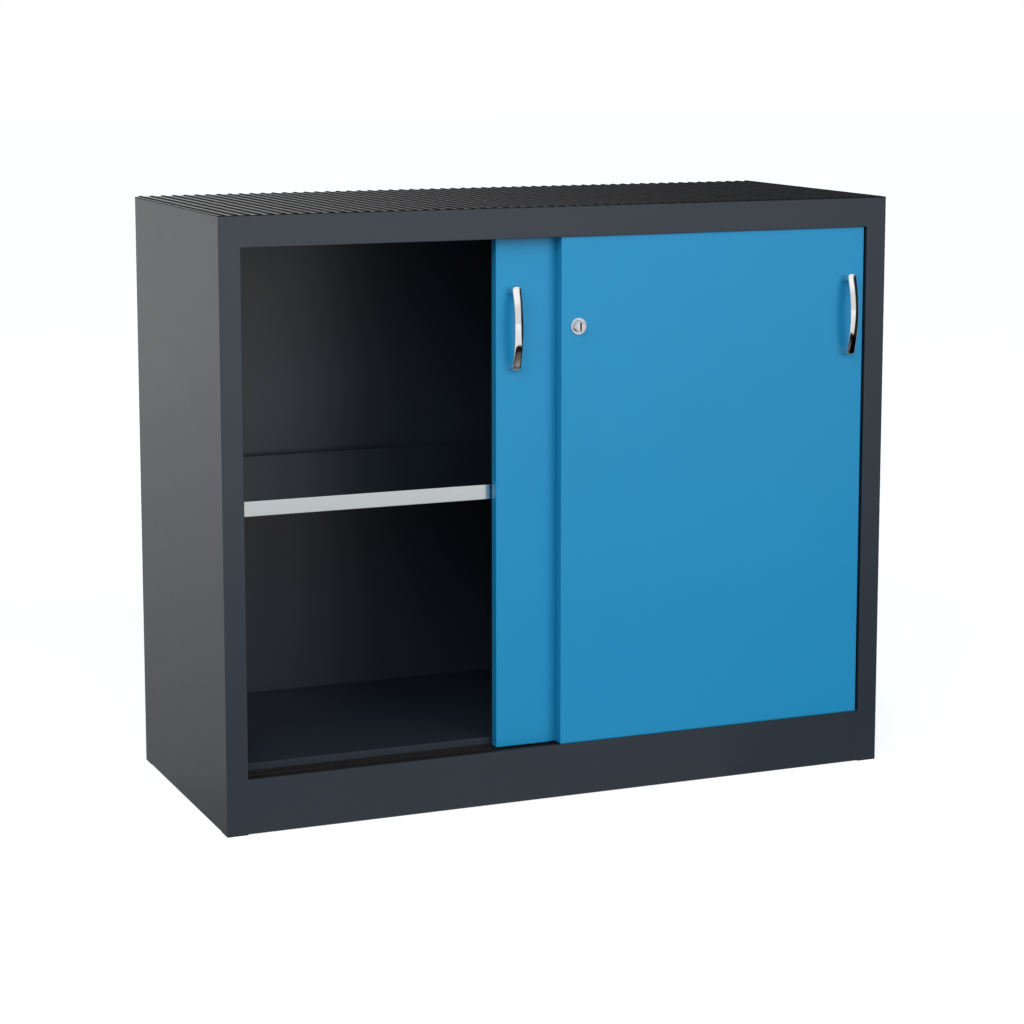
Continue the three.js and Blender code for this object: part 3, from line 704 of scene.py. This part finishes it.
def handle_paths(length, reach):
    """Outer and inner line of the bow and its legs, as (reach from the door, height) pairs."""
    end, inner_end = length / 2, length / 2 - HANDLE_FOOT
    corner, inner_corner = HANDLE_CORNER, HANDLE_INNER_CORNER
    inner_reach = reach - HANDLE_THICKNESS
    inner_side = inner_reach - (reach - HANDLE_END_REACH) * (inner_end / end) ** 2
    side = HANDLE_END_REACH
    outer = [(0, -end), (side - corner, -end)]
    outer += curve(outer[-1], (side, -end), (side, corner - end), CORNER_STEPS)
    outer += curve(outer[-1], (2 * reach - side, 0), (side, end - corner), BOW_STEPS)
    outer += curve(outer[-1], (side, end), (side - corner, end), CORNER_STEPS)
    outer.append((0, end))
    inner = [(0, -inner_end), (inner_side - inner_corner, -inner_end)]
    low, high = (inner_side, inner_corner - inner_end), (inner_side, inner_end - inner_corner)
    inner += curve(inner[-1], (inner_side, -inner_end), low, CORNER_STEPS)
    inner += curve(low, (2 * inner_reach - inner_side, 0), high, BOW_STEPS)
    inner += curve(high, (inner_side, inner_end), (inner_side - inner_corner, inner_end), CORNER_STEPS)
    inner.append((0, inner_end))
    return outer, inner


def bow_section(width, thickness, edge):
    """Closed section as (across, outwards) pairs: crowned outer face, round edges, flat inner face."""
    half = width / 2
    turn = math.atan(2 * HANDLE_CROWN / half)
    slope = math.degrees(turn)
    reach = half - edge * (1 - math.sin(turn))
    drop = HANDLE_CROWN * (reach / half) ** 2
    points = []
    for k in range(CROWN_STEPS + 1):
        x = reach * (2 * k / CROWN_STEPS - 1)
        points.append((x, thickness - HANDLE_CROWN * (x / half) ** 2))
    centre = (reach - edge * math.sin(turn), thickness - drop - edge * math.cos(turn))
    right = arc(centre, edge, QUARTER_TURN - slope, 0, EDGE_STEPS)[1:]
    right += arc((half - HANDLE_EDGE, HANDLE_EDGE), HANDLE_EDGE, 0, -QUARTER_TURN, EDGE_STEPS)
    points += right
    points += [(-x, h) for x, h in reversed(right)]
    return points


def handle(door):
    """Chrome bow on two legs, lofted along its side outline."""
    low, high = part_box(f"{door}_handle")
    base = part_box(f"{door}_skin")[0].y
    middle = (low + high) / 2
    outer, inner = handle_paths(high.z - low.z, base - low.y)
    bm = bmesh.new()
    rings = []
    for (reach_out, z_out), (reach_in, z_in) in zip(outer, inner):
        away = Vector((0, reach_in - reach_out, z_out - z_in))
        start = Vector((middle.x, base - reach_in, middle.z + z_in))
        unit = away.normalized()
        edge = HANDLE_EDGE + (HANDLE_END_EDGE - HANDLE_EDGE) * unit.z ** 2
        section = bow_section(high.x - low.x, away.length, edge)
        rings.append([bm.verts.new(start + Vector((x, 0, 0)) + unit * h) for x, h in section])
    for a, b in zip(rings, rings[1:]):
        for k in range(len(a)):
            n = (k + 1) % len(a)
            bm.faces.new((a[k], a[n], b[n], b[k]))
    bm.faces.new(rings[0])
    bm.faces.new(rings[-1])
    bmesh.ops.recalc_face_normals(bm, faces=bm.faces)
    return piece(f"{door}_bow", bm, looks["chrome"], door, "chrome", f"{door}_handle",
                 angle=HANDLE_SHARP_ANGLE)


def round_off(profile, radius):
    """The profile with each marked corner, (r, y, True), rounded by radius."""
    points = []
    for k, corner in enumerate(profile):
        if len(corner) == 2:
            points.append(Vector(corner))
            continue
        here = Vector(corner[:2])
        before = Vector(profile[k - 1][:2])
        after = Vector(profile[(k + 1) % len(profile)][:2])
        a = here + (before - here).normalized() * radius
        b = here + (after - here).normalized() * radius
        points.append(a)
        points += [Vector(p) for p in curve(a, here, b, EDGE_STEPS)]
    return [tuple(p) for p in points]


def lock():
    """Push lock: rosette and barrel, a cylinder that slides in them and a plug with its key slot."""
    low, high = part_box("lock_housing")
    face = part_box("front_door_skin")[0].y
    centre = Vector(((low.x + high.x) / 2, 0, (low.z + high.z) / 2))
    rosette = (high.x - low.x) / 2
    bore = CYLINDER_RADIUS + LOCK_FIT

    def turned(name, body, shown, radius, profile):
        bm = bmesh.new()
        lathe(bm, centre, round_off(profile, radius), LOCK_SIDES)
        return piece(name, bm, looks["nickel"], body, "nickel", shown)

    turned("lock_rosette", "front_door", "lock_housing", FACE_BEVEL, [
        (bore, high.y), (bore, low.y, True), (rosette, low.y, True), (rosette, face),
        (BARREL_RADIUS, face), (BARREL_RADIUS, high.y),
    ])

    cylinder_low, cylinder_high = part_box("lock_cylinder")
    plug_low, plug_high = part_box("lock_plug")
    plug_bore, plug_seat = PLUG_RADIUS + LOCK_FIT, plug_high.y + LOCK_FIT
    shank = (plug_high.y + cylinder_high.y) / 2
    turned("lock_barrel", "lock_cylinder", "lock_cylinder", FINE_BEVEL, [
        (0, plug_seat), (plug_bore, plug_seat), (plug_bore, cylinder_low.y, True),
        (CYLINDER_RADIUS, cylinder_low.y, True), (CYLINDER_RADIUS, shank), (BOLT_RADIUS, shank),
        (BOLT_RADIUS, cylinder_high.y, True), (0, cylinder_high.y),
    ])

    core = turned("lock_core", "lock_plug", "lock_plug", FINE_BEVEL, [
        (0, plug_low.y), (PLUG_RADIUS, plug_low.y, True), (PLUG_RADIUS, plug_high.y), (0, plug_high.y),
    ])
    slot_half = Vector((KEY_SLOT_WIDTH / 2, KEY_SLOT_DEPTH, KEY_SLOT_HEIGHT / 2))
    slot_middle = Vector((centre.x, plug_low.y, centre.z))
    cutter = bmesh.new()
    block(cutter, slot_middle - slot_half, slot_middle + slot_half)
    # carve lines the key slot with black: painted shade for the dark inside the slot.
    carve(core, cutter)


def carve(obj, cutter):
    """Cuts the closed shape of cutter out of the piece and lines the cut with black plastic: painted shade
    for the dark inside the key slot.
    """
    tool = made_from("cutter", cutter)
    mesh = tool.data
    # The slot's walls are nickel in the real lock; this black plastic is painted shade for the dark in the
    # deep slot.
    mesh.materials.append(looks["plastic"])
    obj.modifiers.clear()
    modifier = obj.modifiers.new("cut", "BOOLEAN")
    modifier.object = tool
    modifier.solver = "EXACT"
    modifier.material_mode = "TRANSFER"
    apply_modifiers(obj)
    bpy.data.objects.remove(tool)
    bpy.data.meshes.remove(mesh)
    shade(obj.data)
    level(obj)


def rollers(door):
    """Grooved nylon rollers under a door."""
    for side in ("left", "right"):
        name = f"{door}_{side}_roller"
        low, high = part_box(name)
        rim = (high.z - low.z) / 2
        middle = (low.y + high.y) / 2
        groove_front, groove_back = middle - GROOVE_WIDTH / 2, middle + GROOVE_WIDTH / 2
        profile = round_off([
            (AXLE_HOLE, low.y), (rim, low.y, True), (rim, groove_front, True),
            (GROOVE_RADIUS, groove_front), (GROOVE_RADIUS, groove_back),
            (rim, groove_back, True), (rim, high.y, True), (AXLE_HOLE, high.y),
        ], FINE_BEVEL)
        bm = bmesh.new()
        lathe(bm, ((low.x + high.x) / 2, 0, (low.z + high.z) / 2), profile, ROLLER_SIDES)
        piece(f"{door}_{side}_wheel", bm, looks["nylon"], name, "nylon", name)


body_shell()
lid()
mat()
shelf()
for door in ("front_door", "rear_door"):
    door_skin(door)
    handle(door)
    rollers(door)
lock()

REFINED = {
    "back_panel": ("rear_wall", "body", FINE_BEVEL),
    "bottom_panel": ("cabinet_floor", "body", FACE_BEVEL),
    "lower_door_track": ("lower_track", "plastic", FINE_BEVEL),
    "upper_door_guide": ("upper_guide", "plastic", FINE_BEVEL),
    "front_lane_stop": ("front_stop_block", "rubber", FACE_BEVEL),
    "rear_lane_stop": ("rear_stop_block", "rubber", FACE_BEVEL),
    "front_door_buffer": ("front_buffer_pad", "rubber", FACE_BEVEL),
    "rear_door_buffer": ("rear_buffer_pad", "rubber", FACE_BEVEL),
    "lock_strike": ("strike_plate", "zinc", FACE_BEVEL),
}
for row in ("front", "rear"):
    for side in ("left", "right"):
        REFINED[f"{row}_{side}_foot"] = (f"{row}_{side}_foot_pad", "plastic", FINE_BEVEL)
        REFINED[f"{row}_{side}_shelf_strip"] = (f"{row}_{side}_slotted_strip", "body", FINE_BEVEL)
        REFINED[f"{row}_{side}_shelf_clip"] = (f"{row}_{side}_shelf_hook", "zinc", FINE_BEVEL)
        REFINED[f"{row}_door_{side}_roller_bracket"] = (f"{row}_door_{side}_fork", "zinc", FINE_BEVEL)
        REFINED[f"{row}_door_{side}_glide"] = (f"{row}_door_{side}_guide_shoe", "plastic", FINE_BEVEL)
    REFINED[f"{row}_door_inner_pan"] = (f"{row}_door_back_sheet", "door", FINE_BEVEL)
node_body = {n: b for b, names in frame["record"]["behaviour"]["bodies"].items() for n in names}
for name, (shown_name, slot, radius) in REFINED.items():
    refined(name, shown_name, looks[slot], node_body[name], slot, radius)


# Studio

# Broad lights: degrees to the right of straight out from the doors, degrees up, spread and strength
KEY_LIGHT = (26, 15, 40, 1.3)
FRONT_LIGHT = (-23, 12, 50, 0.45)
TOP_PLACE = (-2.2, -2.3, 2.9)
TOP_SIZE = (3.2, 2.2)
TOP_POWER = 60
AIM = (0, 0, 0.5)
SKY_FILL = 0.44
FILL_COLOUR = (0.64, 0.8, 1.0)
WHITE = (1, 1, 1)
FLOOR_SIZE = 60
FLOOR_BOUNCE = 0.45
FLOOR_SEEN = 0.7
FLOOR_LIFT = 0.69

# What glossy surfaces see, as (place, brightness) pairs. The place is the Z of a direction in SKY_LEVELS
# and SECTOR_TOP, degrees to the right of straight out from the doors in DARK_SECTOR, and metres from
# FLOOR_CENTRE in the rings. The floor's part is a painted reflection: darker near the cabinet as painted
# shade, and nearly black in a ring further out.
SKY_LEVELS = ((0.1, 0.75), (0.24, 0.75), (0.34, 1.0))
DARK_SECTOR = ((33.0, 1.0), (38.0, 0.02), (152.0, 0.02), (166.0, 1.0))
SECTOR_TOP = ((0.5, 0.0), (0.64, 1.0))
FLOOR_RINGS = (
    (0.8, 0.26), (0.95, 0.13), (1.25, 0.09), (1.35, 0.01), (1.75, 0.01), (1.9, 0.8), (9.0, 0.95),
)
FLOOR_CENTRE = (0.3, -0.24, 0.0)
# Warm tint of the floor near the cabinet, painted into what reflections see.
NEAR_FLOOR_PAINTED_TINT = (1.0, 0.94, 0.88)
NEAR_REACH = 1.3
REAR_RINGS = ((0.0, 0.3), (3.0, 0.6), (7.0, 0.9))
REAR_START = (-0.6, 0.2)


def add_light(name, data, direction):
    """Adds a light that shines along the direction.

    Cameras don't see it, and in reflections the sky stands for it.
    """
    obj = bpy.data.objects.new(name, data)
    bpy.context.scene.collection.objects.link(obj)
    obj.rotation_mode = "QUATERNION"
    obj.rotation_quaternion = Vector(direction).to_track_quat("-Z", "Y")
    obj.visible_camera = False
    obj.visible_glossy = False
    return obj


def broad_light(name, azimuth, elevation, width, strength):
    """Far, wide light from a bearing and a height in degrees."""
    data = bpy.data.lights.new(name, "SUN")
    data.energy = strength
    data.angle = math.radians(width)
    side, rise = math.radians(azimuth), math.radians(elevation)
    flat = math.cos(rise)
    add_light(name, data, (-math.sin(side) * flat, math.cos(side) * flat, -math.sin(rise)))


def top_light():
    """Large soft panel above the left of the front."""
    data = bpy.data.lights.new("top", "AREA")
    data.shape = "RECTANGLE"
    data.size, data.size_y = TOP_SIZE
    data.energy = TOP_POWER
    add_light("top", data, Vector(AIM) - Vector(TOP_PLACE)).location = TOP_PLACE


def follow(tree, value, stops):
    """A number that follows the stops, (value, number) pairs."""
    result = stops[0][1]
    for (start, _), (end, number) in zip(stops, stops[1:]):
        step = node(tree, "ShaderNodeMapRange", {"Value": value, "From Min": start, "From Max": end})
        result = blend(tree, step.outputs["Result"], result, number)
    return result


def product(tree, a, b):
    """One number times another."""
    return node(tree, "ShaderNodeMath", {0: a, 1: b}, operation="MULTIPLY").outputs["Value"]


def parts_of(tree, vector):
    """The outputs X, Y and Z of a vector."""
    return node(tree, "ShaderNodeSeparateXYZ", {"Vector": vector}).outputs


def bearing(tree, vector):
    """Direction of a vector in plan, in degrees to the right of straight out from the doors."""
    parts = parts_of(tree, vector)
    out = product(tree, parts["Y"], -1.0)
    turn = node(tree, "ShaderNodeMath", {0: parts["X"], 1: out}, operation="ARCTAN2").outputs["Value"]
    return node(tree, "ShaderNodeMath", {0: turn}, operation="DEGREES").outputs["Value"]


def sky_reflected(tree):
    """Brightness of the surroundings in reflections: dimmer low down, and dark low down on the right."""
    direction = node(tree, "ShaderNodeTexCoord").outputs["Generated"]
    rise = parts_of(tree, direction)["Z"]
    side = either(tree, follow(tree, bearing(tree, direction), DARK_SECTOR), follow(tree, rise, SECTOR_TOP))
    return product(tree, side, follow(tree, rise, SKY_LEVELS))


def floor_reflected(tree, seen):
    """Brightness and colour of the floor's painted picture in reflections, by place around a point on it.
    """
    place = node(tree, "ShaderNodeTexCoord").outputs["Object"]
    inputs = {0: place, 1: FLOOR_CENTRE}
    offset = node(tree, "ShaderNodeVectorMath", inputs, operation="SUBTRACT").outputs["Vector"]
    radius = node(tree, "ShaderNodeVectorMath", {0: offset}, operation="LENGTH").outputs["Value"]
    sector = follow(tree, bearing(tree, offset), DARK_SECTOR)
    before = product(tree, follow(tree, radius, FLOOR_RINGS), sector)
    behind = between(tree, parts_of(tree, place)["Y"], 0, 1, *REAR_START)
    far = between(tree, radius, 0, 1, NEAR_REACH, 2 * NEAR_REACH)
    white = either(tree, seen, either(tree, far, behind))
    brightness = blend(tree, behind, before, follow(tree, radius, REAR_RINGS))
    return brightness, tone(tree, white, NEAR_FLOOR_PAINTED_TINT, WHITE, 0, 1)


def pale_world():
    """White where it is seen, plain fill light elsewhere, and its own picture in reflections."""
    world = bpy.data.worlds.new("studio")
    bpy.context.scene.world = world
    world.use_nodes = True
    tree = world.node_tree
    path = node(tree, "ShaderNodeLightPath").outputs
    seen = either(tree, path["Is Camera Ray"], path["Is Transmission Ray"])
    plain = blend(tree, seen, SKY_FILL, 1.0)
    strength = blend(tree, path["Is Glossy Ray"], plain, sky_reflected(tree))
    tree.links.new(strength, tree.nodes["Background"].inputs["Strength"])
    white = either(tree, seen, path["Is Glossy Ray"])
    colour = tone(tree, white, FILL_COLOUR, WHITE, 0, 1)
    tree.links.new(colour, tree.nodes["Background"].inputs["Color"])


def pale_floor():
    """Matt floor that looks white and keeps the object's shadow; to reflections it glows with a painted
    picture.
    """
    bm = bmesh.new()
    half = FLOOR_SIZE / 2
    panel(bm, (-half, -half, 0), ((1, 0, 0), (0, FLOOR_SIZE)), ((0, 1, 0), (0, FLOOR_SIZE)))
    floor = made_from("floor", bm)
    material = bpy.data.materials.new("pale_floor")
    material.use_nodes = True
    tree = material.node_tree
    shader = tree.nodes["Principled BSDF"]
    shader.inputs["Roughness"].default_value = 1.0
    shader.inputs["Specular IOR Level"].default_value = 0.0
    path = node(tree, "ShaderNodeLightPath").outputs
    seen = either(tree, path["Is Camera Ray"], path["Is Transmission Ray"])
    plain = blend(tree, seen, FLOOR_BOUNCE, FLOOR_SEEN)
    tree.links.new(blend(tree, path["Is Glossy Ray"], plain, 0.0), shader.inputs["Base Color"])
    lift = blend(tree, seen, 0.0, FLOOR_LIFT)
    reflected, colour = floor_reflected(tree, seen)
    # Glossy rays see the floor glow with its painted picture, darker near the cabinet, not its lit colour.
    tree.links.new(blend(tree, path["Is Glossy Ray"], lift, reflected), shader.inputs["Emission Strength"])
    tree.links.new(colour, shader.inputs["Emission Color"])
    floor.data.materials.append(material)


def photo_camera():
    """A camera that sees the cabinet about as the photograph does."""
    data = bpy.data.cameras.new("camera")
    data.lens = CAMERA_LENS
    data.sensor_width = CAMERA_SENSOR
    data.shift_y = CAMERA_SHIFT_Y
    data.clip_end = CAMERA_RANGE
    camera = bpy.data.objects.new("camera", data)
    bpy.context.scene.collection.objects.link(camera)
    camera.location = CAMERA_PLACE
    camera.rotation_euler = (CAMERA_PITCH, 0, CAMERA_YAW)
    bpy.context.scene.camera = camera


pale_world()
pale_floor()
broad_light("key", *KEY_LIGHT)
broad_light("front", *FRONT_LIGHT)
top_light()
photo_camera()
bpy.context.scene.view_settings.view_transform = "Standard"
